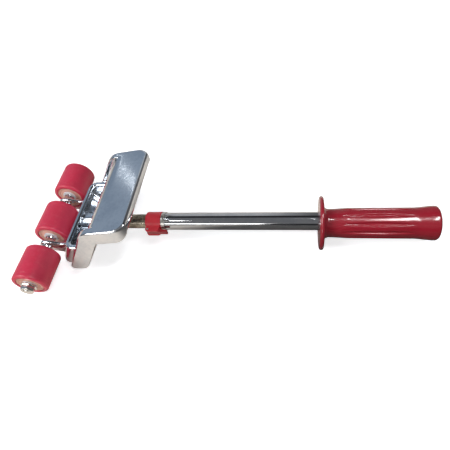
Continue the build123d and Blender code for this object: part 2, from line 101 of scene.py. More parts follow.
class Bench:
    """Adds nodes to one node tree and joins them."""

    def __init__(self, tree: bpy.types.NodeTree) -> None:
        """Keep the tree that nodes are added to.

        Args:
            tree: the shader or geometry node tree.
        """
        self.tree = tree

    def add(self, kind: str, inputs: dict | None = None, **settings: object) -> bpy.types.Node:
        """Add one node.

        Args:
            kind: the node's type name.
            inputs: value, or socket to join, for each input by name or index.
            settings: attributes of the node itself.

        Returns:
            The new node.
        """
        node = self.tree.nodes.new(kind)
        for key, value in settings.items():
            setattr(node, key, value)
        for key, value in (inputs or {}).items():
            self.feed(node.inputs[key], value)
        return node

    def feed(self, socket: Socket, value: object) -> None:
        """Join a socket to an input, or set its constant value.

        Args:
            socket: the input socket.
            value: an output socket or a constant.
        """
        if isinstance(value, Socket):
            self.tree.links.new(value, socket)
        else:
            socket.default_value = value

    def calc(self, operation: str, first: object, second: object = 0.0, clamp: bool = False) -> Socket:
        """Add a Math node and return its output.

        Args:
            operation: the Math node's operation.
            first: first value or socket.
            second: second value or socket, which some operations leave out.
            clamp: whether the result is kept from 0 to 1.

        Returns:
            The output socket.
        """
        settings = {"operation": operation, "use_clamp": clamp}
        return self.add("ShaderNodeMath", {0: first, 1: second}, **settings).outputs[0]

    def times(self, first: object, second: object) -> Socket:
        """Multiply two values and return the output."""
        return self.calc("MULTIPLY", first, second)

    def spread(
        self, value: object, low: float, high: float, to_low: object = 0.0, to_high: object = 1.0
    ) -> Socket:
        """Map a value's range to another, smoothly, and return the output.

        Args:
            value: the socket to map.
            low: value that becomes to_low.
            high: value that becomes to_high.
            to_low: low end of the result.
            to_high: high end of the result.

        Returns:
            The output socket.
        """
        ends = {"Value": value, "From Min": low, "From Max": high, "To Min": to_low, "To Max": to_high}
        return self.add("ShaderNodeMapRange", ends, interpolation_type="SMOOTHSTEP").outputs[0]

    def noise(self, vector: object, scale: object, detail: float = 4.0) -> Socket:
        """Add a noise texture and return its value.

        Args:
            vector: coordinates.
            scale: spots per metre.
            detail: octaves.

        Returns:
            The factor socket.
        """
        node = self.add("ShaderNodeTexNoise", {"Vector": vector, "Scale": scale, "Detail": detail})
        return node.outputs[0]

    def stretched(self, vector: object, factors: object) -> Socket:
        """Scale coordinates by a different factor on each axis.

        Args:
            vector: coordinates.
            factors: the three factors, or a socket with them.

        Returns:
            The scaled coordinates.
        """
        node = self.add("ShaderNodeVectorMath", {0: vector, 1: factors}, operation="MULTIPLY")
        return node.outputs[0]

    def blend(self, amount: object, first: object, second: object) -> Socket:
        """Mix two colours.

        Args:
            amount: 0 for the first colour and 1 for the second.
            first: colour or socket.
            second: colour or socket.

        Returns:
            The mixed colour's socket.
        """
        node = self.add("ShaderNodeMix", data_type="RGBA")
        for key, value in (("Factor_Float", amount), ("A_Color", first), ("B_Color", second)):
            socket = next(s for s in node.inputs if s.identifier == key)
            self.feed(socket, value)
        return next(s for s in node.outputs if s.identifier == "Result_Color")


def rgba(colour: Colour) -> tuple[float, float, float, float]:
    """Return a colour with full alpha."""
    return (*colour, 1.0)


def shader_group(name: str, takes: dict[str, tuple[str, object]], gives: dict[str, str]) -> tuple:
    """Make an empty shader node group with its sockets.

    Args:
        name: the group's name.
        takes: for each input, its socket type and starting value.
        gives: for each output, its socket type.

    Returns:
        The group, its bench, its input node and its output node.
    """
    group = bpy.data.node_groups.new(name, "ShaderNodeTree")
    for label, (kind, start) in takes.items():
        socket = group.interface.new_socket(label, in_out="INPUT", socket_type=kind)
        socket.default_value = start
    for label, kind in gives.items():
        group.interface.new_socket(label, in_out="OUTPUT", socket_type=kind)
    bench = Bench(group)
    return group, bench, bench.add("NodeGroupInput"), bench.add("NodeGroupOutput")


FLOAT = "NodeSocketFloat"
VECTOR = "NodeSocketVector"


@dataclass
class SharedEffects:
    """Shader node groups that several finishes share, each built once."""

    patch_band: tuple[float, float] = (0.36, 0.64)
    patch_share: float = 0.7
    fine_share: float = 0.3
    fine_factor: float = 9.0
    edge_band: tuple[float, float] = (0.99, 0.86)
    chip_band: tuple[float, float] = (0.3, 0.6)
    least_wear: float = 0.2
    cell_share: float = 0.5
    dust_slope: tuple[float, float] = (0.2, 1.0)
    speck_band: tuple[float, float] = (0.45, 0.75)
    groups: dict[str, bpy.types.NodeTree] = field(default_factory=dict)

    def build(self) -> None:
        """Build every group."""
        self.groups["smudges"] = self._smudges()
        self.groups["brushing"] = self._brushing()
        self.groups["edge_wear"] = self._edge_wear()
        self.groups["grain"] = self._grain()
        self.groups["settled_dust"] = self._settled_dust()

    def place(self, bench: Bench, name: str, inputs: dict) -> bpy.types.Node:
        """Put one of the groups in a material.

        Args:
            bench: the material's bench.
            name: which group.
            inputs: values for its inputs.

        Returns:
            The group node.
        """
        node = bench.add("ShaderNodeGroup", node_tree=self.groups[name])
        for key, value in inputs.items():
            bench.feed(node.inputs[key], value)
        return node

    def _smudges(self) -> bpy.types.NodeTree:
        """Build broad soft patches from handling, as a roughness value and a mask."""
        takes = {"Vector": (VECTOR, (0, 0, 0)), "Scale": (FLOAT, 30.0)}
        takes |= {"Smooth": (FLOAT, 0.2), "Rough": (FLOAT, 0.4)}
        group, bench, enter, leave = shader_group("Smudges", takes, {"Roughness": FLOAT, "Mask": FLOAT})
        given = enter.outputs
        patches = bench.noise(given["Vector"], given["Scale"], 5.0)
        fine = bench.noise(given["Vector"], bench.times(given["Scale"], self.fine_factor), 3.0)
        shares = bench.times(patches, self.patch_share), bench.times(fine, self.fine_share)
        both = bench.calc("ADD", *shares)
        bench.feed(leave.inputs["Mask"], bench.spread(both, *self.patch_band))
        rough = bench.spread(both, *self.patch_band, given["Smooth"], given["Rough"])
        bench.feed(leave.inputs["Roughness"], rough)
        return group

    def _brushing(self) -> bpy.types.NodeTree:
        """Build fine lines left by a polishing wheel, longer on one axis than on the others."""
        takes = {"Vector": (VECTOR, (0, 0, 0)), "Stretch": (VECTOR, (1, 1, 1)), "Scale": (FLOAT, 900.0)}
        group, bench, enter, leave = shader_group("Brushing", takes, {"Height": FLOAT})
        drawn = bench.stretched(enter.outputs["Vector"], enter.outputs["Stretch"])
        bench.feed(leave.inputs["Height"], bench.noise(drawn, enter.outputs["Scale"], 6.0))
        return group

    def _edge_wear(self) -> bpy.types.NodeTree:
        """Build a mask of the outer edges, with the normal rounded over them."""
        takes = {"Radius": (FLOAT, 0.0005), "Vector": (VECTOR, (0, 0, 0)), "Break Up": (FLOAT, 400.0)}
        gives = {"Mask": FLOAT, "Normal": VECTOR}
        group, bench, enter, leave = shader_group("Edge wear", takes, gives)
        rounded = bench.add("ShaderNodeBevel", {"Radius": enter.outputs["Radius"]}, samples=6).outputs[0]
        flat = bench.add("ShaderNodeNewGeometry").outputs["Normal"]
        alike = bench.add("ShaderNodeVectorMath", {0: rounded, 1: flat}, operation="DOT_PRODUCT")
        edge = bench.spread(alike.outputs["Value"], *self.edge_band)
        chips = bench.noise(enter.outputs["Vector"], enter.outputs["Break Up"])
        broken = bench.spread(chips, *self.chip_band, self.least_wear)
        bench.feed(leave.inputs["Mask"], bench.calc("MULTIPLY", edge, broken, True))
        bench.feed(leave.inputs["Normal"], rounded)
        return group

    def _grain(self) -> bpy.types.NodeTree:
        """Build the fine pebble of moulded rubber and plastic as a height."""
        takes = {"Vector": (VECTOR, (0, 0, 0)), "Scale": (FLOAT, 1500.0)}
        group, bench, enter, leave = shader_group("Grain", takes, {"Height": FLOAT})
        inputs = {"Vector": enter.outputs["Vector"], "Scale": enter.outputs["Scale"]}
        cells = bench.add("ShaderNodeTexVoronoi", inputs, feature="SMOOTH_F1")
        soft = bench.noise(inputs["Vector"], inputs["Scale"], 2.0)
        mixed = bench.calc("ADD", bench.times(cells.outputs["Distance"], self.cell_share), soft)
        bench.feed(leave.inputs["Height"], mixed)
        return group

    def _settled_dust(self) -> bpy.types.NodeTree:
        """Build a mask of faint dust on faces that point up."""
        takes = {"Vector": (VECTOR, (0, 0, 0)), "Scale": (FLOAT, 220.0), "Amount": (FLOAT, 0.1)}
        group, bench, enter, leave = shader_group("Settled dust", takes, {"Mask": FLOAT})
        normal = bench.add("ShaderNodeNewGeometry").outputs["Normal"]
        up = bench.add("ShaderNodeSeparateXYZ", {0: normal}).outputs["Z"]
        grit = bench.noise(enter.outputs["Vector"], enter.outputs["Scale"], 8.0)
        lying = bench.times(bench.spread(up, *self.dust_slope), bench.spread(grit, *self.speck_band))
        bench.feed(leave.inputs["Mask"], bench.calc("MULTIPLY", lying, enter.outputs["Amount"], True))
        return group


EFFECTS = SharedEffects()


def start_material(name: str, constants: dict[str, object]) -> tuple:
    """Make a material with one Principled shader and object coordinates.

    Args:
        name: the material's name.
        constants: values set on the shader's own sockets.

    Returns:
        The material, its bench, its shader and the coordinate socket.
    """
    made = bpy.data.materials.new(name)
    made.use_nodes = True
    made.node_tree.nodes.clear()
    bench = Bench(made.node_tree)
    shader = bench.add("ShaderNodeBsdfPrincipled", constants)
    bench.add("ShaderNodeOutputMaterial", {"Surface": shader.outputs[0]})
    place = bench.add("ShaderNodeTexCoord").outputs["Object"]
    return made, bench, shader, place


@dataclass(frozen=True)
class Finish:
    """What every finish has: two tones, a roughness where clean and where smudged, and worn edges."""

    name: str
    colour: Colour
    shade: Colour
    smooth: float
    rough: float
    patch_scale: float
    wear_radius: float
    wear: float
    edge: Colour
    break_up: float

    def layers(self, bench: Bench, place: Socket) -> tuple:
        """Lay the smudges and the worn edges.

        Args:
            bench: the material's bench.
            place: the coordinate socket.

        Returns:
            The coloured surface's socket, the smudge node and the wear node.
        """
        patches = {"Vector": place, "Scale": self.patch_scale, "Smooth": self.smooth, "Rough": self.rough}
        smudge = EFFECTS.place(bench, "smudges", patches)
        edges = {"Radius": self.wear_radius, "Vector": place, "Break Up": self.break_up}
        worn = EFFECTS.place(bench, "edge_wear", edges)
        body = bench.blend(smudge.outputs["Mask"], rgba(self.colour), rgba(self.shade))
        if self.wear:
            body = bench.blend(bench.times(worn.outputs["Mask"], self.wear), body, rgba(self.edge))
        return body, smudge, worn

    def join(
        self, bench: Bench, shader: bpy.types.Node, colour: Socket, layers: tuple, relief: tuple
    ) -> None:
        """Join the colour, the roughness and the relief to the shader.

        Args:
            bench: the material's bench.
            shader: the Principled shader.
            colour: the surface's colour.
            layers: the smudge node and the wear node.
            relief: the height's socket and its depth.
        """
        smudge, worn = layers
        bench.feed(shader.inputs["Base Color"], colour)
        bench.feed(shader.inputs["Roughness"], smudge.outputs["Roughness"])
        bump = {"Height": relief[0], "Distance": relief[1], "Normal": worn.outputs["Normal"]}
        bench.feed(shader.inputs["Normal"], bench.add("ShaderNodeBump", bump).outputs[0])


@dataclass(frozen=True)
class BrushedMetal(Finish):
    """Cast, plated or bare metal with brushing lines along one axis."""

    patch_scale: float = 60.0
    wear_radius: float = 0.3 * MM
    wear: float = 0.0
    edge: Colour = (0.92, 0.91, 0.89)
    break_up: float = 900.0
    stretch: tuple[float, float, float] = (1.0, 9.0, 9.0)
    line_scale: float = 160.0
    line_depth: float = 0.004 * MM

    def material(self) -> bpy.types.Material:
        """Return the finished material."""
        made, bench, shader, place = start_material(self.name, {"Metallic": 1.0})
        body, *layers = self.layers(bench, place)
        drawn = {"Vector": place, "Stretch": self.stretch, "Scale": self.line_scale}
        lines = EFFECTS.place(bench, "brushing", drawn).outputs["Height"]
        self.join(bench, shader, body, layers, (lines, self.line_depth))
        return made


@dataclass(frozen=True)
class Moulding(Finish):
    """Moulded rubber, plastic or vinyl with a fine grain, slight shade changes and a little dust."""

    patch_scale: float = 45.0
    wear_radius: float = 0.4 * MM
    wear: float = 0.25
    edge: Colour = (1.0, 1.0, 1.0)
    break_up: float = 500.0
    grain_scale: float = 1500.0
    grain_depth: float = 0.02 * MM
    dust: float = 0.08
    dust_scale: float = 260.0
    dust_colour: Colour = (0.75, 0.70, 0.68)
    coat: float = 0.0
    coat_roughness: float = 0.08
    under_light: float = 0.0
    under_light_depth: float = 3.0 * MM

    def material(self) -> bpy.types.Material:
        """Return the finished material."""
        constants = {
            "Metallic": 0.0,
            "IOR": 1.5,
            "Coat Weight": self.coat,
            "Coat Roughness": self.coat_roughness,
            "Subsurface Weight": self.under_light,
            "Subsurface Scale": self.under_light_depth,
        }
        made, bench, shader, place = start_material(self.name, constants)
        body, *layers = self.layers(bench, place)
        grain = EFFECTS.place(bench, "grain", {"Vector": place, "Scale": self.grain_scale}).outputs["Height"]
        specks = {"Vector": place, "Scale": self.dust_scale, "Amount": self.dust}
        dust = EFFECTS.place(bench, "settled_dust", specks).outputs["Mask"]
        dusty = bench.blend(dust, body, rgba(self.dust_colour))
        self.join(bench, shader, dusty, layers, (grain, self.grain_depth))
        return made


SCUFF_GAIN = 1.25
SCUFF_LIFT = 0.03


def scuffed(colour: Colour) -> Colour:
    """Return the lighter tone that a moulding's worn edges take."""
    return tuple(min(1.0, value * SCUFF_GAIN + SCUFF_LIFT) for value in colour)


def moulding(
    name: str, colour: Colour, shade: Colour, smooth: float, rough: float, **more: float
) -> Moulding:
    """Return a moulding whose worn edges are a lighter tone of its colour."""
    return Moulding(name, colour, shade, smooth, rough, edge=scuffed(colour), **more)


FINISHES: dict[Slot, BrushedMetal | Moulding] = {
    Slot.CASTING: BrushedMetal(
        "polished_cast_alloy", (0.80, 0.82, 0.85), (0.62, 0.66, 0.71), 0.09, 0.18, patch_scale=34.0,
        wear_radius=0.5 * MM, wear=0.7, break_up=160.0, stretch=(14.0, 1.0, 14.0), line_scale=70.0,
        line_depth=0.02 * MM,
    ),
    Slot.INNER_PLATING: BrushedMetal(
        "dull_brown_plating", (0.40, 0.36, 0.29), (0.19, 0.165, 0.13), 0.22, 0.42, patch_scale=190.0,
        line_depth=0.02 * MM,
    ),
    Slot.OUTER_PLATING: BrushedMetal(
        "bright_tube_plating", (0.60, 0.61, 0.63), (0.52, 0.54, 0.57), 0.07, 0.12,
        wear_radius=0.04 * MM, line_depth=0.0006 * MM,
    ),
    Slot.ZINC: BrushedMetal("zinc_plated_steel", (0.72, 0.71, 0.68), (0.60, 0.60, 0.58), 0.20, 0.34),
    Slot.SPACER: BrushedMetal("bright_spacer_plating", (0.82, 0.82, 0.84), (0.70, 0.71, 0.74), 0.10, 0.20),
    Slot.TYRE: moulding(
        "red_tyre_rubber", (0.62, 0.036, 0.084), (0.56, 0.031, 0.072), 0.32, 0.46, under_light=0.05,
        dust=0.02,
    ),
    Slot.CORE: moulding(
        "salmon_core_moulding", (0.78, 0.44, 0.36), (0.72, 0.39, 0.31), 0.45, 0.60, grain_scale=900.0,
    ),
    Slot.BUSH: moulding(
        "white_bush_nylon", (0.78, 0.77, 0.80), (0.70, 0.69, 0.73), 0.32, 0.45, under_light=0.1,
    ),
    Slot.LINER: moulding("cream_liner_nylon", (0.78, 0.75, 0.68), (0.70, 0.67, 0.60), 0.34, 0.48),
    Slot.COLLAR: moulding(
        "red_collar_moulding", (0.78, 0.042, 0.066), (0.74, 0.038, 0.060), 0.30, 0.40, coat=0.1,
        grain_depth=0.003 * MM, dust=0.0, wear=0.1,
    ),
    Slot.LEVER: moulding(
        "red_lever_moulding", (0.46, 0.022, 0.036), (0.40, 0.018, 0.030), 0.28, 0.38, coat=0.1,
        grain_depth=0.003 * MM, dust=0.0, wear=0.1,
    ),
    Slot.PLUG: moulding("black_plug_moulding", (0.018, 0.018, 0.020), (0.026, 0.026, 0.028), 0.42, 0.58),
    Slot.GRIP: moulding(
        "red_grip_vinyl", (0.33, 0.011, 0.026), (0.30, 0.010, 0.023), 0.20, 0.24, coat=0.7,
        coat_roughness=0.10, grain_depth=0.0006 * MM, grain_scale=700.0, dust=0.01, wear_radius=0.05 * MM,
    ),
}


@dataclass
class PaintShop:
    """Makes each finish once and gives it out by slot."""

    made: dict[Slot, bpy.types.Material] = field(default_factory=dict)

    def get(self, slot: Slot) -> bpy.types.Material:
        """Return the slot's material, built at first use.

        Args:
            slot: the record's material slot.

        Returns:
            The material.
        """
        if slot not in self.made:
            self.made[slot] = FINISHES[slot].material()
        return self.made[slot]


PAINT = PaintShop()

# ------------------------------------------------------------------ mesh helpers

WELD = 1e-7
RUNNING_GAP = 0.05 * MM
FIXED_GAP = 0.04 * MM


def arc(centre: tuple[float, float], radius: float, start: float, end: float, steps: int = 8) -> Outline:
    """Return points on an arc of a profile.

    Args:
        centre: position along the axis and distance from it.
        radius: the arc's radius.
        start: first angle in degrees, 0 along the axis and 90 away from it.
        end: last angle in degrees.
        steps: number of runs.

    Returns:
        The points from start to end.
    """
    angles = [math.radians(start + (end - start) * i / steps) for i in range(steps + 1)]
    return [(centre[0] + radius * math.cos(a), centre[1] + radius * math.sin(a)) for a in angles]


def object_from(name: str, mesh: bpy.types.Mesh) -> bpy.types.Object:
    """Put a mesh in the scene as an object at the origin.

    Args:
        name: the piece's name.
        mesh: its mesh.

    Returns:
        The object.
    """
    made = bpy.data.objects.new(name, mesh)
    bpy.context.scene.collection.objects.link(made)
    return made


def turned(
    name: str,
    profiles: Iterable[Outline],
    centre: Vector,
    along: Along,
    segments: int = 96,
    bore_centre: Callable[[float], Vector] | None = None,
) -> bpy.types.Object:
    """Turn closed profiles about an axis into one mesh.

    Args:
        name: the piece's name.
        profiles: closed outlines of (distance along the axis, radius).
        centre: a point on the axis, where distance along it is 0.
        along: which axis.
        segments: faces round the axis.
        bore_centre: gives a shift of the axis for a radius, for a bore that is off centre.

    Returns:
        The object, shaded smooth with sharp corners kept.
    """
    cross = Along.AXLE.value if along is Along.TUBE else Along.TUBE.value
    shell = bmesh.new()
    for profile in profiles:
        rings = []
        for distance, radius in profile:
            shift = bore_centre(radius) if bore_centre else Vector((0, 0, 0))
            ring = []
            for step in range(segments):
                turn = 2 * math.pi * step / segments
                point = centre + shift
                point[along.value] += distance
                point[cross] += radius * math.cos(turn)
                point[2] += radius * math.sin(turn)
                ring.append(shell.verts.new(point))
            rings.append(ring)
        for first, second in zip(rings, rings[1:] + rings[:1]):
            for step in range(segments):
                after = (step + 1) % segments
                shell.faces.new((first[step], first[after], second[after], second[step]))
    bmesh.ops.remove_doubles(shell, verts=shell.verts, dist=WELD)
    bmesh.ops.dissolve_degenerate(shell, edges=shell.edges, dist=WELD / 10)
    bmesh.ops.recalc_face_normals(shell, faces=shell.faces)
    mesh = bpy.data.meshes.new(name)
    shell.to_mesh(mesh)
    shell.free()
    return shaded(object_from(name, mesh))


def shaded(piece: bpy.types.Object, corner: float = 32.0) -> bpy.types.Object:
    """Shade a piece smooth but for edges sharper than the corner angle.

    Args:
        piece: the object.
        corner: angle in degrees.

    Returns:
        The same object.
    """
    piece.data.shade_smooth()
    piece.data.set_sharp_from_angle(angle=math.radians(corner))
    return piece


def made_plain(piece: bpy.types.Object) -> bpy.types.Object:
    """Replace an object by the plain mesh that its modifiers give.

    Args:
        piece: object with modifiers.

    Returns:
        A new object with the same name and no modifiers.
    """
    name = piece.name
    bpy.context.view_layer.update()
    graph = bpy.context.evaluated_depsgraph_get()
    mesh = bpy.data.meshes.new_from_object(piece.evaluated_get(graph), depsgraph=graph)
    bpy.data.objects.remove(piece)
    mesh.name = name
    return object_from(name, mesh)


def dress(piece: bpy.types.Object, slot: Slot, body: str, *nodes: str) -> bpy.types.Object:
    """Give a piece its finish, its body and the parts it stands for.

    Args:
        piece: the object.
        slot: the record's material slot.
        body: the body it moves with.
        nodes: the parts it replaces.

    Returns:
        The same object.
    """
    piece.data.materials.clear()
    piece.data.materials.append(PAINT.get(slot))
    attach(piece, body)
    if nodes:
        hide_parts(*nodes)
    log.info("%s: %d faces, rides on %s", piece.name, len(piece.data.polygons), body)
    return piece


def keep_node(node: str, slot: Slot) -> None:
    """Show a part as it is, with its finish.

    Args:
        node: the part's name.
        slot: the record's material slot.
    """
    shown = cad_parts[node]
    shown.data.materials.clear()
    shown.data.materials.append(PAINT.get(slot))
    log.info("%s: kept, finished as %s", node, slot.value)


# ------------------------------------------------------------------ geometry node trees


def geometry_tree(name: str, takes: dict[str, tuple[str, object]]) -> tuple:
    """Make an empty geometry node tree with named inputs.

    Args:
        name: the tree's name.
        takes: for each input, its socket type and starting value.

    Returns:
        The tree, its bench, its input node and its output node.
    """
    tree = bpy.data.node_groups.new(name, "GeometryNodeTree")
    tree.interface.new_socket("Geometry", in_out="INPUT", socket_type="NodeSocketGeometry")
    for label, (kind, start) in takes.items():
        socket = tree.interface.new_socket(label, in_out="INPUT", socket_type=kind)
        if start is not None:
            socket.default_value = start
    tree.interface.new_socket("Geometry", in_out="OUTPUT", socket_type="NodeSocketGeometry")
    bench = Bench(tree)
    return tree, bench, bench.add("NodeGroupInput"), bench.add("NodeGroupOutput")


def end_tree(bench: Bench, geometry: Socket, enter: bpy.types.Node, leave: bpy.types.Node) -> None:
    """Finish a geometry tree with Realize Instances and Set Material.

    Args:
        bench: the tree's bench.
        geometry: what the tree has made.
        enter: the input node, which has a Material input.
        leave: the output node.
    """
    real = bench.add("GeometryNodeRealizeInstances", {"Geometry": geometry}).outputs[0]
    ends = {"Geometry": real, "Material": enter.outputs["Material"]}
    painted = bench.add("GeometryNodeSetMaterial", ends).outputs[0]
    bench.feed(leave.inputs["Geometry"], painted)


def grow(piece: bpy.types.Object, tree: bpy.types.NodeTree, values: dict[str, object]) -> bpy.types.Object:
    """Run a geometry tree on an object and keep the plain result.

    Args:
        piece: the object to start from.
        tree: the geometry tree.
        values: value of each named input.

    Returns:
        A plain mesh object with the same name.
    """
    modifier = piece.modifiers.new(tree.name, "NODES")
    modifier.node_group = tree
    sockets = {s.name: s.identifier for s in tree.interface.items_tree if s.in_out == "INPUT"}
    for label, value in values.items():
        modifier[sockets[label]] = value
    return made_plain(piece)


FLUTE_EDGE = (-0.15, 0.85)


def flute_tree() -> bpy.types.NodeTree:
    """Build the tree that presses long pointed flutes into a turned grip.

    Returns:
        The tree, with inputs for the axis, the flutes' place, count, depth and the barrel's radius.
    """
    takes = {
        "Axis Y": (FLOAT, 0.0),
        "Axis Z": (FLOAT, 0.0),
        "Start": (FLOAT, 0.0),
        "Length": (FLOAT, 0.06),
        "Count": (FLOAT, 16.0),
        "Depth": (FLOAT, 0.001),
        "Outer Radius": (FLOAT, 0.01),
        "Material": ("NodeSocketMaterial", None),
    }
    tree, bench, enter, leave = geometry_tree("Press flutes", takes)
    given = enter.outputs
    place = bench.add("ShaderNodeSeparateXYZ", {0: bench.add("GeometryNodeInputPosition").outputs[0]}).outputs
    across = bench.calc("SUBTRACT", place["Y"], given["Axis Y"])
    above = bench.calc("SUBTRACT", place["Z"], given["Axis Z"])
    turn = bench.calc("ARCTAN2", above, across)
    out = bench.add("ShaderNodeCombineXYZ", {"Y": across, "Z": above}).outputs[0]
    radius = bench.add("ShaderNodeVectorMath", {0: out}, operation="LENGTH").outputs["Value"]
    past_start = bench.calc("SUBTRACT", place["X"], given["Start"])
    share = bench.calc("DIVIDE", past_start, given["Length"], True)
    bow = bench.times(bench.times(share, bench.calc("SUBTRACT", 1.0, share)), 4.0)
    wave = bench.calc("COSINE", bench.times(turn, given["Count"]))
    above_edge = bench.calc("SUBTRACT", wave, bench.calc("SUBTRACT", 1.0, bow))
    inside = bench.spread(above_edge, *FLUTE_EDGE)
    outer = bench.calc("GREATER_THAN", radius, given["Outer Radius"])
    pressed = bench.times(bench.times(inside, given["Depth"]), outer)
    inward = bench.times(pressed, -1.0)
    ways = {"Y": bench.times(bench.calc("COSINE", turn), inward)}
    ways["Z"] = bench.times(bench.calc("SINE", turn), inward)
    shift = bench.add("ShaderNodeCombineXYZ", ways).outputs[0]
    moved = bench.add("GeometryNodeSetPosition", {"Geometry": given["Geometry"], "Offset": shift}).outputs[0]
    end_tree(bench, moved, enter, leave)
    return tree


def rib_tree() -> bpy.types.NodeTree:
    """Build the tree that sets a row of round-topped ribs on a run.

    Returns:
        The tree, with inputs for the first and last rib's place, the count and the rib's size.
    """
    takes = {
        "First": (VECTOR, (0, 0, 0)),
        "Last": (VECTOR, (0, 0, 0)),
        "Count": ("NodeSocketInt", 4),
        "Rib Length": (FLOAT, 0.004),
        "Rib Radius": (FLOAT, 0.0004),
        "Material": ("NodeSocketMaterial", None),
    }
    tree, bench, enter, leave = geometry_tree("Row of ribs", takes)
    given = enter.outputs
    row = bench.add("GeometryNodeMeshLine", mode="END_POINTS")
    bench.feed(row.inputs["Count"], given["Count"])
    bench.feed(row.inputs["Start Location"], given["First"])
    bench.feed(row.inputs["Offset"], given["Last"])
    rib = bench.add("GeometryNodeMeshUVSphere", {"Segments": 16, "Rings": 8, "Radius": 1.0}).outputs["Mesh"]
    half_length = bench.calc("DIVIDE", given["Rib Length"], 2.0)
    size = {"X": given["Rib Radius"], "Y": given["Rib Radius"], "Z": half_length}
    shape = bench.add("ShaderNodeCombineXYZ", size).outputs[0]
    scaled = bench.add("GeometryNodeTransform", {"Geometry": rib, "Scale": shape}).outputs[0]
    copies = {"Points": row.outputs[0], "Instance": scaled}
    placed = bench.add("GeometryNodeInstanceOnPoints", copies).outputs[0]
    end_tree(bench, placed, enter, leave)
    return tree


def coil_tree() -> bpy.types.NodeTree:
    """Build the tree that winds a thread ridge round a rod.

    Returns:
        The tree, with inputs for the thread's start, radius, pitch, turns and ridge.
    """
    takes = {
        "Start": (VECTOR, (0, 0, 0)),
        "Turned": (VECTOR, (0, 0, 0)),
        "Radius": (FLOAT, 0.004),
        "Turns": (FLOAT, 4.0),
        "Pitch": (FLOAT, 0.001),
        "Ridge": (FLOAT, 0.0003),
        "Material": ("NodeSocketMaterial", None),
    }
    tree, bench, enter, leave = geometry_tree("Wound thread", takes)
    given = enter.outputs
    winding = {
        "Resolution": 48,
        "Rotations": given["Turns"],
        "Start Radius": given["Radius"],
        "End Radius": given["Radius"],
        "Height": bench.times(given["Turns"], given["Pitch"]),
    }
    spiral = bench.add("GeometryNodeCurveSpiral", winding).outputs[0]
    round_wire = {"Resolution": 8, "Radius": given["Ridge"]}
    section = bench.add("GeometryNodeCurvePrimitiveCircle", round_wire).outputs[0]
    ends = {"Curve": spiral, "Profile Curve": section, "Fill Caps": True}
    ridge = bench.add("GeometryNodeCurveToMesh", ends).outputs[0]
    places = {"Geometry": ridge, "Translation": given["Start"], "Rotation": given["Turned"]}
    end_tree(bench, bench.add("GeometryNodeTransform", places).outputs[0], enter, leave)
    return tree


# ------------------------------------------------------------------ sub-assemblies


@dataclass
class CastHead:
    """The cast head: palm plate, cheeks, web pocket, tube socket and two axle ears."""

    voxel: float = 0.80 * MM
    smoothing: int = 7
    smoothing_factor: float = 0.5
    weld: float = 0.001 * MM
    body: str = "head"

    def build(self) -> bpy.types.Object:
        """Make the casting with a foundry radius on every inner and outer corner.

        Returns:
            The finished piece.
        """
        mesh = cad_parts["head_casting"].data.copy()
        mesh.name = "cast_head"
        shell = bmesh.new()
        shell.from_mesh(mesh)
        bmesh.ops.remove_doubles(shell, verts=shell.verts, dist=self.weld)
        shell.to_mesh(mesh)
        shell.free()
        for name in ("custom_normal", "sharp_edge", "sharp_face"):
            if name in mesh.attributes:
                mesh.attributes.remove(mesh.attributes[name])
        piece = object_from("cast_head", mesh)
        remesh = piece.modifiers.new("even_faces", "REMESH")
        remesh.mode = "VOXEL"
        remesh.voxel_size = self.voxel
        remesh.adaptivity = 0.0
        remesh.use_smooth_shade = True
        soften = piece.modifiers.new("foundry_radius", "SMOOTH")
        soften.factor = self.smoothing_factor
        soften.iterations = self.smoothing
        piece = made_plain(piece)
        return dress(piece, Slot.CASTING, self.body, "head_casting")


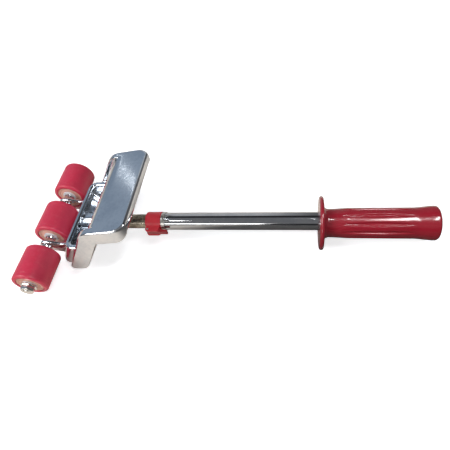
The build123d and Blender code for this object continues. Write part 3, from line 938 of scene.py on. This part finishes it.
@dataclass
class Roller:
    """One roller: rubber tyre, plastic core and two flanged bushes."""

    place: str
    tyre_edge: float = 2.6 * MM
    tyre_chamfer: float = 0.5 * MM
    line_inset: float = 3.2 * MM
    line_half_width: float = 0.35 * MM
    line_depth: float = 0.12 * MM
    core_rim: float = 0.3 * MM
    core_groove: float = 0.5 * MM
    seat_round: float = 0.2 * MM
    seat_depth: float = 1.5 * MM
    flange_edge: float = 0.35 * MM
    flange_height: float = 1.4 * MM
    bush_wall: float = 1.6 * MM
    bush_reach: float = 13.0 * MM
    bore_chamfer: float = 0.3 * MM

    @property
    def body(self) -> str:
        """Return the body that the roller turns with."""
        return f"roller_{self.place}"

    def build(self) -> None:
        """Make the roller's three pieces."""
        low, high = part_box(f"tyre_{self.place}")
        self.centre = (low + high) / 2
        self.half = (high.y - low.y) / 2
        self.radius = (high.x - low.x) / 2
        core_low, core_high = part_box(f"core_{self.place}")
        self.core_radius = (core_high.x - core_low.x) / 2
        self.core_half = (core_high.y - core_low.y) / 2
        bush_low, bush_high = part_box(f"bushes_{self.place}")
        self.flange_radius = (bush_high.x - bush_low.x) / 2
        self.bush_half = (bush_high.y - bush_low.y) / 2
        axle_low, axle_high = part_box("axle_rod")
        self.bore = (axle_high.x - axle_low.x) / 2 + RUNNING_GAP
        self._tyre()
        self._core()
        self._bushes()

    def _tyre(self) -> None:
        """Turn the tyre, with a shallow moulded line beside each rounded edge."""
        edge, chamfer = self.tyre_edge, self.tyre_chamfer
        inner = self.core_radius + RUNNING_GAP
        line = self.half - edge - self.line_inset
        outline = [(-self.half + chamfer, inner), (-self.half, inner + chamfer)]
        outline += arc((-self.half + edge, self.radius - edge), edge, 180, 90)
        outline += self._moulded_line(-line) + self._moulded_line(line)
        outline += arc((self.half - edge, self.radius - edge), edge, 90, 0)
        outline += [(self.half, inner + chamfer), (self.half - chamfer, inner)]
        piece = turned(f"rubber_tyre_{self.place}", [outline], self.centre, Along.AXLE, 144)
        dress(piece, Slot.TYRE, self.body, f"tyre_{self.place}")

    def _moulded_line(self, distance: float) -> Outline:
        """Return a shallow groove round the tyre at a distance along it."""
        half, floor = self.line_half_width, self.radius - self.line_depth
        shape = ((-half, self.radius), (-half / 2, floor), (half / 2, floor), (half, self.radius))
        return [(distance + along, radius) for along, radius in shape]

    def _core(self) -> None:
        """Turn the core, with a shallow ring groove in each face and a seat for the bush flange."""
        groove = self.core_groove
        middle = (self.core_radius + self.flange_radius) / 2
        half, rim = self.core_half, self.core_radius
        seat, depth = self.flange_radius + RUNNING_GAP, self.bush_half - self.seat_depth
        side = [
            (half - self.core_rim, rim),
            (half, rim - self.core_rim),
            (half, middle + 2 * groove),
            (half - groove, middle + groove),
            (half - groove, middle - groove),
            (half, middle - 2 * groove),
            (half, seat + self.seat_round),
            (half - self.seat_round, seat),
            (depth, seat),
        ]
        bore = self.bore + self.bush_wall + 2 * RUNNING_GAP
        outline = side + [(depth, bore), (-depth, bore)] + [(-d, r) for d, r in reversed(side)]
        piece = turned(f"plastic_core_{self.place}", [outline], self.centre, Along.AXLE, 112)
        dress(piece, Slot.CORE, self.body, f"core_{self.place}")

    def _bushes(self) -> None:
        """Turn the two bushes, each a sleeve with a rounded flange."""
        outer, edge = self.flange_radius, self.flange_edge
        face, back = self.bush_half, self.bush_half - self.flange_height
        sleeve, inner_end = self.bore + self.bush_wall, self.bush_half - self.bush_reach
        one = [(inner_end, self.bore), (inner_end, sleeve), (back, sleeve), (back, outer)]
        one += arc((face - edge, outer - edge), edge, 90, 0, 4)
        one += [(face, self.bore + self.bore_chamfer), (face - self.bore_chamfer, self.bore)]
        other = [(-d, r) for d, r in reversed(one)]
        piece = turned(f"flanged_bushes_{self.place}", [one, other], self.centre, Along.AXLE, 80)
        dress(piece, Slot.BUSH, self.body, f"bushes_{self.place}")


@dataclass
class Axle:
    """The axle with its nuts, washers and the bright spacers beside the ears."""

    pitch: float = 1.0 * MM
    ridge: float = 0.28 * MM
    turns: float = 5.0
    ear_half: float = 2.2 * MM
    end_chamfer: float = 0.4 * MM
    end_band: float = 1.2 * MM
    waist_start: float = 1.8 * MM
    waist_depth: float = 0.35 * MM
    near_inset: float = 0.1 * MM
    far_inset: float = 0.3 * MM
    body: str = "head"

    def build(self) -> None:
        """Make the threaded ends and finish the parts that stay as they are."""
        for node in ("axle_nuts", "axle_washers", "axle_rod"):
            keep_node(node, Slot.ZINC)
        self._spacers()
        self._threads()

    def _spacers(self) -> None:
        """Turn the four spacers, one on each side of each ear."""
        low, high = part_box("ear_spacers")
        rod_low, rod_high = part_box("axle_rod")
        centre = (rod_low + rod_high) / 2
        outer = (high.z - low.z) / 2
        bore = (rod_high.z - rod_low.z) / 2 + FIXED_GAP
        ear_middle = (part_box("tyre_far")[0].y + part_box("tyre_middle")[1].y) / 2
        length = (high.y - ear_middle) - self.ear_half
        outlines = []
        for side in (-1, 1):
            for start in (ear_middle + self.ear_half, ear_middle - self.ear_half - length):
                outline = self._spacer_outline(start, start + length, bore, outer)
                outlines.append([(side * d, r) for d, r in outline])
        piece = turned("bright_spacers", outlines, Vector((centre.x, 0, centre.z)), Along.AXLE, 72)
        dress(piece, Slot.SPACER, self.body, "ear_spacers")

    def _spacer_outline(self, start: float, stop: float, bore: float, outer: float) -> Outline:
        """Return a spacer's outline, waisted between two rolled ends.

        Args:
            start: distance of its first end along the axle.
            stop: distance of its other end.
            bore: radius of its bore.
            outer: radius of its ends.

        Returns:
            The closed outline.
        """
        chamfer, waist = self.end_chamfer, outer - self.waist_depth
        first = [(start, outer - chamfer), (start + chamfer, outer)]
        first += [(start + self.end_band, outer), (start + self.waist_start, waist)]
        last = [(start + stop - distance, radius) for distance, radius in reversed(first)]
        return [(start, bore)] + first + last + [(stop, bore)]

    def _threads(self) -> None:
        """Wind the thread that shows at each end of the axle."""
        low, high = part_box("axle_rod")
        centre = (low + high) / 2
        tree = coil_tree()
        wound = self.turns * self.pitch
        near_end = low.y + 2 * self.ridge + self.near_inset + wound
        far_end = high.y - self.ridge - self.far_inset
        for place, end in (("near", near_end), ("far", far_end)):
            seed = object_from(f"axle_thread_{place}", bpy.data.meshes.new(f"axle_thread_{place}"))
            values = {
                "Start": (centre.x, end, centre.z),
                "Turned": (math.radians(90), 0.0, 0.0),
                "Radius": (high.z - low.z) / 2 - self.ridge,
                "Turns": self.turns,
                "Pitch": self.pitch,
                "Ridge": self.ridge,
                "Material": PAINT.get(Slot.ZINC),
            }
            dress(shaded(grow(seed, tree, values), 60), Slot.ZINC, self.body)


@dataclass
class Tubes:
    """The inner tube of the head and the outer tube of the handle, with what holds and ends them."""

    inner_wall: float = 1.2 * MM
    outer_wall: float = 0.9 * MM
    lip: float = 0.35 * MM
    runs: int = 40
    segments: int = 128

    def build(self) -> None:
        """Make both tubes and finish the hidden parts."""
        self._tube("inner_tube", Slot.INNER_PLATING, "head", self.inner_wall)
        self._tube("outer_tube", Slot.OUTER_PLATING, "handle", self.outer_wall)
        keep_node("socket_pin", Slot.ZINC)
        keep_node("tube_stop", Slot.PLUG)
        keep_node("tube_plug", Slot.PLUG)
        keep_node("guide_liner", Slot.LINER)

    def _tube(self, node: str, slot: Slot, body: str, wall: float) -> None:
        """Turn one tube with rolled ends.

        Args:
            node: the part it stands for.
            slot: its finish.
            body: the body it moves with.
            wall: its wall thickness.
        """
        low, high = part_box(node)
        half, outer = (high.x - low.x) / 2, (high.z - low.z) / 2
        inner, lip, runs = outer - wall, self.lip, self.runs
        long_run = [(-half + lip + (2 * half - 2 * lip) * i / runs, outer) for i in range(1, runs)]
        outline = [(-half, inner)] + arc((-half + lip, outer - lip), lip, 180, 90, 4) + long_run
        outline += arc((half - lip, outer - lip), lip, 90, 0, 4) + [(half, inner)]
        piece = turned(f"plated_{node}", [outline], (low + high) / 2, Along.TUBE, self.segments)
        dress(piece, slot, body, node)


@dataclass
class Clamp:
    """The clamp: red collar, bright ferrule behind it, flip lever with thumb ribs, pin and screws."""

    rib_count: int = 4
    rib_radius: float = 0.45 * MM
    rib_pitch: float = 1.7 * MM
    rib_rise: float = 0.35 * MM
    rib_share: float = 0.86
    last_rib_inset: float = 2.2 * MM
    rib_sink: float = 0.1 * MM

    def build(self) -> None:
        """Make the ribs and finish the parts."""
        keep_node("clamp_collar", Slot.COLLAR)
        keep_node("cam_lever", Slot.LEVER)
        for node in ("ferrule", "lever_pin", "collar_screws"):
            keep_node(node, Slot.ZINC)
        self._ribs()

    def _ribs(self) -> None:
        """Set the thumb ribs on the lever's outer face."""
        low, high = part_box("cam_lever")
        level = (low.z + high.z) / 2
        last = Vector((high.x - self.last_rib_inset, low.y + self.rib_sink, level))
        first = last - Vector(((self.rib_count - 1) * self.rib_pitch, -self.rib_rise, 0))
        seed = object_from("lever_thumb_ribs", bpy.data.meshes.new("lever_thumb_ribs"))
        values = {
            "First": tuple(first),
            "Last": tuple(last),
            "Count": self.rib_count,
            "Rib Length": (high.z - low.z) * self.rib_share,
            "Rib Radius": self.rib_radius,
            "Material": PAINT.get(Slot.LEVER),
        }
        dress(shaded(grow(seed, rib_tree(), values), 70), Slot.LEVER, "lever")


@dataclass
class Grip:
    """The moulded grip: thin front flange, smooth neck, fluted barrel and flared end."""

    flange_thickness: float = 4.4 * MM
    root_radius: float = 5.0 * MM
    root_rise: float = 4.0 * MM
    neck_radius: float = 14.6 * MM
    barrel_radius: float = 15.4 * MM
    swell: tuple[float, float] = (12 * MM, 30 * MM)
    bell_radius: float = 17.0 * MM
    bell_flare: tuple[float, float] = (22.0 * MM, 3.0 * MM)
    end_round: float = 2.6 * MM
    end_dish: float = 2.0 * MM
    end_wall: float = 6.0 * MM
    mouth_chamfer: float = 0.5 * MM
    runs: int = 132
    flute_count: int = 11
    flute_start: float = 21.0 * MM
    flute_length: float = 67.0 * MM
    flute_depth: float = 1.5 * MM
    flute_margin: float = 0.8 * MM
    segments: int = 352
    body: str = "handle"

    def build(self) -> None:
        """Turn the grip and press its flutes."""
        low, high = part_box("grip")
        self.axis = (low + high) / 2
        self.front, self.rear = low.x, high.x
        self.flange_radius = (high.z - low.z) / 2
        tube_low, tube_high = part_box("outer_tube")
        tube_axis = (tube_low + tube_high) / 2
        self.bore = (tube_high.z - tube_low.z) / 2 + FIXED_GAP
        centre = Vector((self.front, self.axis.y, self.axis.z))
        offset = Vector((0, tube_axis.y - centre.y, tube_axis.z - centre.z))
        bore_rim = self.bore + self.mouth_chamfer + RUNNING_GAP
        piece = turned(
            "fluted_grip",
            [self._outline()],
            centre,
            Along.TUBE,
            self.segments,
            bore_centre=lambda radius: offset if radius <= bore_rim else Vector((0, 0, 0)),
        )
        values = {
            "Axis Y": self.axis.y,
            "Axis Z": self.axis.z,
            "Start": self.front + self.flute_start,
            "Length": self.flute_length,
            "Count": float(self.flute_count),
            "Depth": self.flute_depth,
            "Outer Radius": self.neck_radius - self.flute_margin,
            "Material": PAINT.get(Slot.GRIP),
        }
        piece = grow(piece, flute_tree(), values)
        dress(shaded(piece, 40), Slot.GRIP, self.body, "grip")

    def _outline(self) -> Outline:
        """Return the closed outline from the bore's mouth over the outside to the bore's end."""
        length = self.rear - self.front
        flange, thick, root = self.flange_radius, self.flange_thickness, self.root_radius
        edge, mouth = thick / 2, self.mouth_chamfer
        outline = [(mouth, self.bore), (0.0, self.bore + mouth), (0.0, flange - edge)]
        outline += arc((edge, flange - edge), edge, 180, 0, 14)[1:]
        outline += [(thick, self.neck_radius + root + self.root_rise)]
        outline += arc((thick + root, self.neck_radius + root), root, 180, 270, 12)
        start, stop = thick + root, length - self.end_round
        for i in range(1, self.runs + 1):
            distance = start + (stop - start) * i / self.runs
            outline.append((distance, self._outside(distance, length)))
        brim = self._outside(stop, length) - self.end_round
        outline += arc((stop, brim), self.end_round, 90, 0, 12)[1:]
        outline += [(length, brim - self.end_dish), (length, 0.0)]
        outline += [(length - self.end_wall, 0.0), (length - self.end_wall, self.bore)]
        return outline

    def _outside(self, distance: float, length: float) -> float:
        """Return the barrel's radius at a distance behind the flange's front.

        Args:
            distance: distance from the front.
            length: the grip's whole length.

        Returns:
            The radius.
        """
        swell = smooth_step(distance, *self.swell)
        flare = smooth_step(distance, *(length - inset for inset in self.bell_flare))
        straight = self.neck_radius + (self.barrel_radius - self.neck_radius) * swell
        return straight + (self.bell_radius - self.barrel_radius) * flare


def smooth_step(value: float, low: float, high: float) -> float:
    """Return 0 below low, 1 above high and an even rise between them."""
    share = min(1.0, max(0.0, (value - low) / (high - low)))
    return share * share * (3 - 2 * share)


# ------------------------------------------------------------------ studio


ROOM_BANDS: tuple[tuple[float, Colour], ...] = (
    (0.0, (0.62, 0.62, 0.62)),
    (0.27, (0.50, 0.51, 0.53)),
    (0.325, (0.02, 0.02, 0.022)),
    (0.425, (0.02, 0.02, 0.022)),
    (0.46, (0.17, 0.175, 0.185)),
    (0.86, (0.20, 0.20, 0.205)),
    (0.90, (0.03, 0.03, 0.032)),
    (1.0, (0.03, 0.03, 0.032)),
)


@dataclass(frozen=True)
class Softbox:
    """One rectangular soft light: where it hangs, the point it faces, its size, watts and colour."""

    name: str
    place: Sequence[float]
    aim: Sequence[float]
    size: tuple[float, float]
    power: float
    colour: Colour = (1.0, 1.0, 1.0)

    def hang(self) -> None:
        """Hang the light in the scene."""
        lamp = bpy.data.lights.new(self.name, "AREA")
        lamp.shape = "RECTANGLE"
        lamp.size, lamp.size_y = self.size
        lamp.energy = self.power
        lamp.color = self.colour
        hung = bpy.data.objects.new(self.name, lamp)
        bpy.context.scene.collection.objects.link(hung)
        facing = (Vector(self.aim) - Vector(self.place)).to_track_quat("-Z", "Y").to_matrix().to_4x4()
        hung.matrix_world = Matrix.Translation(self.place) @ facing


GRIP_SPOT = (0.16, 0.0, 0.03)
LIGHTS = (
    Softbox("key", (-1.1, -0.7, 1.3), (-0.05, 0, 0.03), (0.9, 0.9), 22.0, (1.0, 0.98, 0.96)),
    Softbox("overhead_right", (0.50, -0.14, 1.12), GRIP_SPOT, (0.40, 0.12), 4.6),
    Softbox("overhead_neck", (0.222, -0.14, 1.12), GRIP_SPOT, (0.04, 0.09), 0.8),
    Softbox("front_fill", (-0.5, -1.6, 0.6), (-0.1, 0, 0.03), (0.8, 0.3), 3.4, (1.0, 0.985, 0.96)),
)


@dataclass
class Studio:
    """Pale floor, soft lights, banded room light and the camera."""

    azimuth: float = 18.56
    elevation: float = 53.26
    roll: float = 15.02
    lens: float = 29.417
    camera_from_axle: tuple[float, float, float] = (0.27822, -0.22759, 0.31788)
    floor_size: float = 30.0
    floor_gap: float = 0.2 * MM
    floor_glow: float = 0.72
    floor_seen: Colour = (0.72, 0.74, 0.77)
    floor_tones: tuple[Colour, Colour] = ((0.80, 0.735, 0.65), (0.82, 0.75, 0.665))
    # Painted shadow on the floor under the handle, seen only in mirrors and bounced light: its tone, its band
    # across and along the handle, and its strength.
    painted_shadow_tone: Colour = (0.05, 0.05, 0.05)
    painted_shadow_across: tuple[float, float] = (0.04, -0.02)
    painted_shadow_along: tuple[float, float] = (-0.09, 0.0)
    painted_shadow_strength: float = 0.94
    sky_tone: Colour = (0.25, 0.31, 0.39)
    sky_band: tuple[float, float] = (-0.34, -0.50)
    far_band: tuple[float, float] = (0.0, 0.25)
    dim_tone: Colour = (0.03, 0.03, 0.032)
    dim_band: tuple[float, float] = (-0.12, 0.08)
    dim_share: float = 0.8
    plate_rise: float = 7.7
    streak_from_rear: float = 31.0 * MM
    streak_side: float = 32.0 * MM
    streak_below_top: float = 4.0 * MM
    streak_distance: float = 1.2
    streak_size: tuple[float, float] = (0.010, 0.42)
    streak_power: float = 0.045
    streak_colour: Colour = (0.95, 0.98, 1.0)

    def build(self) -> None:
        """Set up the whole studio."""
        self._floor()
        self._room()
        self._lights()
        self._camera()

    def _floor(self) -> None:
        """Lay the floor, pale to the camera and warm in mirrors but for a painted shadow under the handle, a
        dark patch that only mirrors and bounced light see.
        """
        half = self.floor_size / 2
        mesh = bpy.data.meshes.new("pale_floor")
        level = CAD_BOX[0].z - self.floor_gap
        corners = [(-half, -half, level), (half, -half, level), (half, half, level), (-half, half, level)]
        mesh.from_pydata(corners, [], [(0, 1, 2, 3)])
        floor = object_from("pale_floor", mesh)
        constants = {"Roughness": 0.8, "Emission Color": (1.0, 1.0, 1.0, 1.0)}
        made, bench, shader, place = start_material("pale_floor", constants)
        warm, warmer = (rgba(tone) for tone in self.floor_tones)
        tone = bench.blend(bench.noise(place, 3.0, 3.0), warm, warmer)
        spot = bench.add("ShaderNodeSeparateXYZ", {0: place}).outputs
        # Painted shadow: for mirrors and bounced light the floor turns dark beside and under the handle,
        # standing in for the shade that falls there.
        beside = bench.spread(spot["Y"], *self.painted_shadow_across)
        painted_shadow_along_mask = bench.spread(spot["X"], *self.painted_shadow_along, 0.0, self.painted_shadow_strength)
        mirrored = bench.blend(bench.times(beside, painted_shadow_along_mask), tone, rgba(self.painted_shadow_tone))
        seen = bench.add("ShaderNodeLightPath").outputs["Is Camera Ray"]
        bench.feed(shader.inputs["Base Color"], bench.blend(seen, mirrored, rgba(self.floor_seen)))
        bench.feed(shader.inputs["Emission Strength"], bench.times(seen, self.floor_glow))
        mesh.materials.append(made)

    def _room(self) -> None:
        """Paint the room's light by direction: grey far side, a dark gap, a mid-grey near side."""
        world = bpy.data.worlds.new("studio_room")
        bpy.context.scene.world = world
        world.use_nodes = True
        world.node_tree.nodes.clear()
        bench = Bench(world.node_tree)
        way = bench.add("ShaderNodeTexCoord").outputs["Generated"]
        axes = bench.add("ShaderNodeSeparateXYZ", {0: way}).outputs
        turn = bench.calc("DIVIDE", bench.calc("ARCTAN2", axes["Z"], axes["Y"]), math.pi)
        ramp = bench.add("ShaderNodeValToRGB", {0: turn})
        for index, (place, colour) in enumerate(ROOM_BANDS):
            stop = ramp.color_ramp.elements[index] if index < 2 else ramp.color_ramp.elements.new(place)
            stop.position = place
            stop.color = rgba(colour)
        far_side = bench.spread(axes["Y"], *self.far_band)
        blue = bench.times(bench.spread(axes["X"], *self.sky_band), far_side)
        cool = bench.blend(blue, ramp.outputs[0], rgba(self.sky_tone))
        darker = bench.times(bench.spread(axes["X"], *self.dim_band, 0.0, self.dim_share), far_side)
        room = bench.blend(darker, cool, rgba(self.dim_tone))
        light = bench.add("ShaderNodeBackground", {"Color": room, "Strength": 1.0})
        bench.add("ShaderNodeOutputWorld", {"Surface": light.outputs[0]})

    def _lights(self) -> None:
        """Hang the soft lights and the strip that the palm plate mirrors to the camera."""
        for light in LIGHTS:
            light.hang()
        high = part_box("head_casting")[1]
        plate = Vector((high.x - self.streak_from_rear, self.streak_side, high.z - self.streak_below_top))
        rise = math.radians(self.plate_rise)
        place = self._mirrored(plate, Vector((-math.sin(rise), 0, math.cos(rise))), self.streak_distance)
        Softbox("plate_streak", place, plate, self.streak_size, self.streak_power, self.streak_colour).hang()

    def _eye(self) -> Vector:
        """Return the camera's place, set out from the middle of the axle."""
        low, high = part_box("axle_rod")
        return (low + high) / 2 + Vector(self.camera_from_axle)

    def _mirrored(self, point: Vector, normal: Vector, distance: float) -> Vector:
        """Return where a light hangs for a polished face to mirror it to the camera.

        Args:
            point: the point of the face.
            normal: the face's normal there.
            distance: how far from the point the light hangs.

        Returns:
            The light's place.
        """
        seen = (point - self._eye()).normalized()
        return point + seen.reflect(normal.normalized()) * distance

    def _camera(self) -> None:
        """Place the camera by its bearing, its height angle and its roll."""
        turn, drop, roll = (math.radians(v) for v in (self.azimuth, self.elevation, self.roll))
        ahead = Vector((-math.sin(turn) * math.cos(drop), math.cos(turn) * math.cos(drop), -math.sin(drop)))
        level = Vector((math.cos(turn), math.sin(turn), 0))
        upright = level.cross(ahead)
        right = level * math.cos(roll) - upright * math.sin(roll)
        up = upright * math.cos(roll) + level * math.sin(roll)
        lens = bpy.data.cameras.new("camera")
        lens.lens = self.lens
        lens.sensor_width = 36.0
        lens.clip_start, lens.clip_end = 0.01, 100.0
        camera = bpy.data.objects.new("camera", lens)
        bpy.context.scene.collection.objects.link(camera)
        turned_to = Matrix((right, up, -ahead)).transposed().to_4x4()
        camera.matrix_world = Matrix.Translation(self._eye()) @ turned_to
        bpy.context.scene.camera = camera


def main() -> None:
    """Build the studio and every sub-assembly in order."""
    logging.basicConfig(level=logging.INFO, format="%(message)s", stream=sys.stdout)
    bpy.context.scene.view_settings.view_transform = "Standard"
    Studio().build()
    EFFECTS.build()
    CastHead().build()
    for place in ("near", "middle", "far"):
        Roller(place).build()
    Axle().build()
    Tubes().build()
    Clamp().build()
    Grip().build()


if __name__ == "__main__":
    main()
